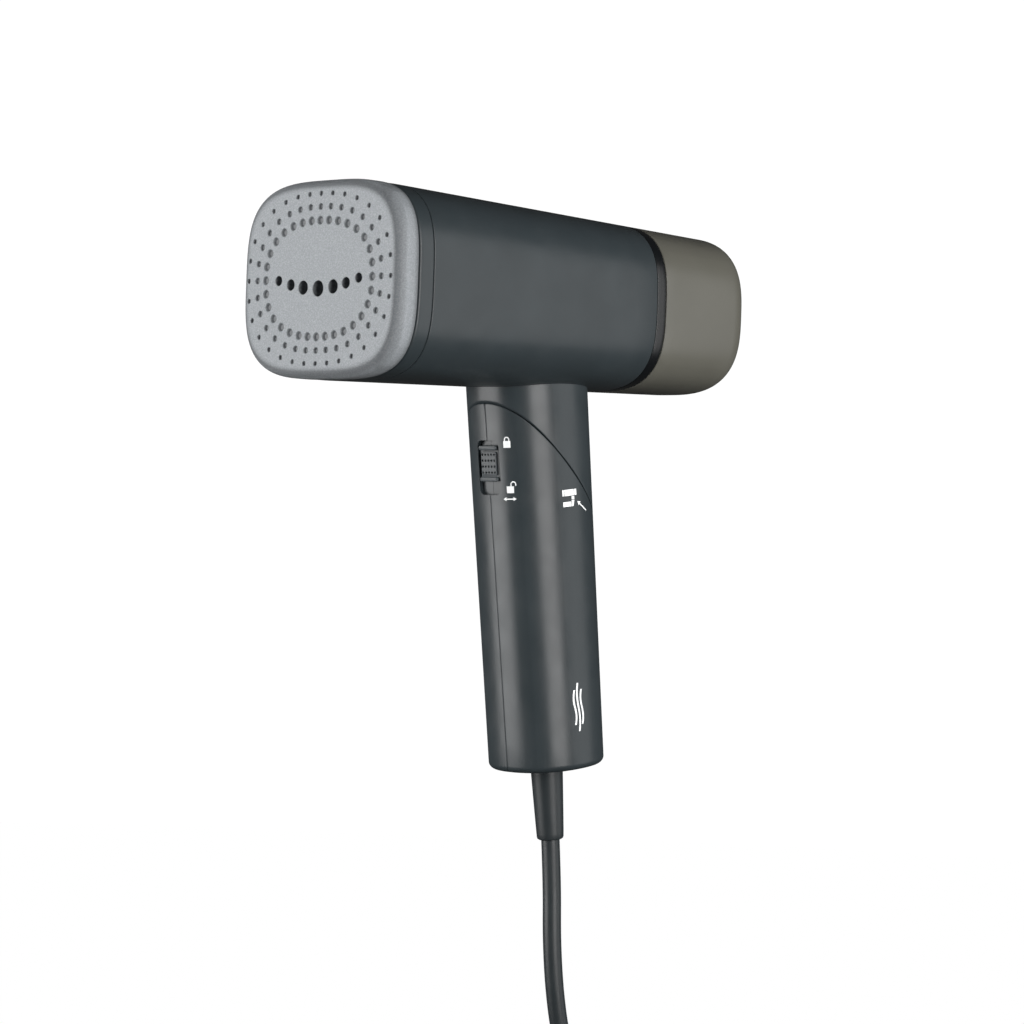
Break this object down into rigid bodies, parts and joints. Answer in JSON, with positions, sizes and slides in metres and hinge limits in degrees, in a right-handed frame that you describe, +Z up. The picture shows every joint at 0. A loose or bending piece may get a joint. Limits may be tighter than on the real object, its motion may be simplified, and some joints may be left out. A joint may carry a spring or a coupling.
{
  "type": "handheld garment steamer",
  "caption": "Handheld garment steamer: flat steam plate on a tapered barrel, pull-off water tank, twist-fold handle and mains cord.",
  "frame": {"origin": "centre of the hand grip, on the handle's axis", "axes": "+Z up, steam plate faces -Y, barrel along Y, water tank towards +Y"},
  "size_m": [0.1488, 0.2628, 0.3699],
  "materials": {
    "soft_touch_shell": "soft-touch matt dark slate",
    "control_plastic": "fine matt slate",
    "steam_plate_metal": "satin, finely speckled",
    "cast_chamber": "as cast",
    "steel": "plain",
    "screw_steel": "zinc plated",
    "pin_metal": "nickel plated",
    "nozzle_brass": "turned",
    "silicone": "matt silicone",
    "gloss_trim": "piano gloss",
    "tank_smoke": "satin translucent smoke",
    "tank_front_plastic": "satin smoke",
    "inner_plastic": "moulded, glass filled",
    "circuit_board": "solder mask",
    "component_plastic": "plain",
    "lens_clear": "frosted",
    "cord_jacket": "matt flexible sheath",
    "tie_strap": "matt"
  },
  "bodies": {
    "handle": {"handle_shell_left": "soft_touch_shell", "handle_shell_right": "soft_touch_shell", "handle_screws": "screw_steel", "swivel_plate": "inner_plastic", "swivel_washer": "steel", "retaining_ring": "steel", "loom_sleeve": "cord_jacket", "indicator_lens": "lens_clear", "button_board": "circuit_board", "tact_switches": "component_plastic", "terminal_block": "inner_plastic", "cord_clamp": "inner_plastic", "strain_relief": "cord_jacket", "cord_inner": "cord_jacket", "cord_lead": "cord_jacket", "cord_coil": "cord_jacket", "cord_tail": "cord_jacket", "cord_tie": "tie_strap", "plug_body": "cord_jacket", "plug_sleeve": "cord_jacket", "plug_pins": "pin_metal"},
    "head": {"neck_shell": "soft_touch_shell", "neck_bush": "inner_plastic", "barrel_shell": "soft_touch_shell", "front_collar": "soft_touch_shell", "plate_gasket": "silicone", "steam_plate": "steam_plate_metal", "chamber_gasket": "silicone", "steam_chamber": "cast_chamber", "heating_element": "steel", "inlet_nozzle": "nozzle_brass", "thermostat": "steel", "thermal_fuse": "inner_plastic", "heat_shield": "inner_plastic", "chassis": "inner_plastic", "pump_mounts": "silicone", "pump_body": "inner_plastic", "outlet_hose": "silicone", "inlet_hose": "silicone", "control_board": "circuit_board", "board_components": "component_plastic", "board_screws": "screw_steel", "dock_bulkhead": "inner_plastic", "dock_seal": "silicone", "trim_ring": "gloss_trim"},
    "tank": {"tank_shell": "tank_smoke", "tank_bulkhead": "tank_front_plastic", "tank_valve": "silicone", "suction_tube": "silicone", "suction_filter": "steel"},
    "filler_stopper": {"filler_stopper": "silicone"},
    "lock": {"lock_slider": "control_plastic", "lock_bolt": "inner_plastic"},
    "steam_button": {"steam_button": "control_plastic"},
    "power_button": {"power_button": "control_plastic"},
    "pump_plunger": {"pump_plunger": "steel"}
  },
  "joints": [
    {"name": "handle_fold", "type": "hinge", "parent": "handle", "child": "head", "pos_m": [0, -0.0075, 0.05852], "axis": [0, 0.6607, 0.7507], "range_deg": [0, 180]},
    {"name": "lock_slide", "type": "slide", "parent": "handle", "child": "lock", "axis": [0, 0.1271, -0.9919], "range_m": [0, 0.004]},
    {"name": "steam_button_press", "type": "slide", "parent": "handle", "child": "steam_button", "axis": [0, -0.9919, -0.1271], "range_m": [0, 0.001], "stiffness_N_per_m": 900},
    {"name": "power_button_press", "type": "slide", "parent": "handle", "child": "power_button", "axis": [0, -0.9919, -0.1271], "range_m": [0, 0.001], "stiffness_N_per_m": 900},
    {"name": "tank_release", "type": "slide", "parent": "head", "child": "tank", "axis": [0, 1, 0], "range_m": [0, 0.06]},
    {"name": "stopper_pull", "type": "slide", "parent": "tank", "child": "filler_stopper", "axis": [0, 0, -1], "range_m": [0, 0.015]},
    {"name": "pump_stroke", "type": "slide", "parent": "head", "child": "pump_plunger", "axis": [0, -1, 0], "range_m": [0, 0.003], "stiffness_N_per_m": 400}
  ]
}
